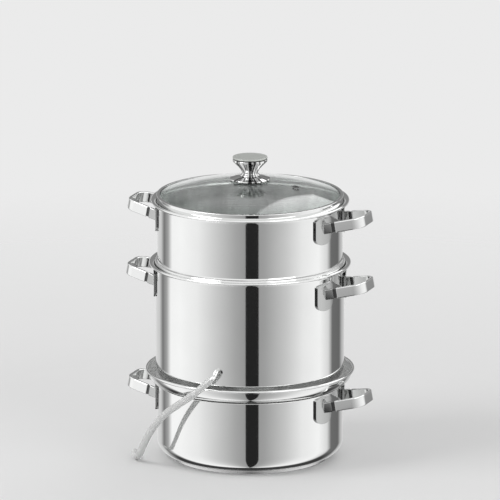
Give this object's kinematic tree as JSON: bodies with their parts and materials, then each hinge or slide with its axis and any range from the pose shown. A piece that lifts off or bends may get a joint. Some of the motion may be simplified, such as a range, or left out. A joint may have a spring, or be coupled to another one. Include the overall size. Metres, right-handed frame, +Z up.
{
  "type": "steam juicer",
  "caption": "Stacked polished steel pots that steam juice out of fruit: water pot, juice pot with chimney, spout and hose, perforated basket, and a domed glass lid with a steel band and knob.",
  "frame": {"origin": "on the floor, at the middle of the water pot's base plate", "axes": "+Z up along the common axis of the pots; the loop handles lie on +X and -X; the outlet spout points to -Y"},
  "size_m": [0.3578, 0.3139, 0.4313],
  "materials": {
    "polished_steel": "mirror-polished stainless steel",
    "satin_steel": "satin stainless steel",
    "base_plate": "fine-turned steel cap over an aluminium core",
    "knob_chrome": "polished chrome",
    "cap_grey": "grey gloss",
    "glass": "clear tempered glass",
    "silicone_hose": "clear silicone",
    "seal_rubber": "matt silicone rubber"
  },
  "bodies": {
    "water_pot": {"water_pot_shell": "polished_steel", "water_pot_base_plate": "base_plate", "water_pot_right_grip": "polished_steel", "water_pot_left_grip": "polished_steel", "water_pot_right_rear_foot": "polished_steel", "water_pot_right_front_foot": "polished_steel", "water_pot_left_rear_foot": "polished_steel", "water_pot_left_front_foot": "polished_steel"},
    "juice_pot": {"juice_pot_floor": "polished_steel", "juice_pot_shell": "polished_steel", "juice_pot_rim": "polished_steel", "steam_chimney": "satin_steel", "outlet_spout": "polished_steel", "juice_hose": "silicone_hose", "juice_pot_right_grip": "polished_steel", "juice_pot_left_grip": "polished_steel", "juice_pot_right_rear_foot": "polished_steel", "juice_pot_right_front_foot": "polished_steel", "juice_pot_left_rear_foot": "polished_steel", "juice_pot_left_front_foot": "polished_steel"},
    "basket": {"basket_shell": "polished_steel", "basket_right_grip": "polished_steel", "basket_left_grip": "polished_steel", "basket_right_rear_foot": "polished_steel", "basket_right_front_foot": "polished_steel", "basket_left_rear_foot": "polished_steel", "basket_left_front_foot": "polished_steel"},
    "lid": {"lid_glass": "glass", "lid_band": "polished_steel", "vent_eyelet": "satin_steel", "knob_gasket": "seal_rubber", "knob_base_disc": "knob_chrome", "knob_body": "knob_chrome", "knob_cap": "cap_grey", "knob_washer": "seal_rubber", "knob_screw": "satin_steel"}
  },
  "joints": [
    {"name": "juice_pot_lift", "type": "slide", "parent": "water_pot", "child": "juice_pot", "axis": [0, 0, 1], "range_m": [0, 0.045]},
    {"name": "basket_lift", "type": "slide", "parent": "juice_pot", "child": "basket", "axis": [0, 0, 1], "range_m": [0, 0.1]},
    {"name": "lid_lift", "type": "slide", "parent": "basket", "child": "lid", "axis": [0, 0, 1], "range_m": [0, 0.04]}
  ]
}
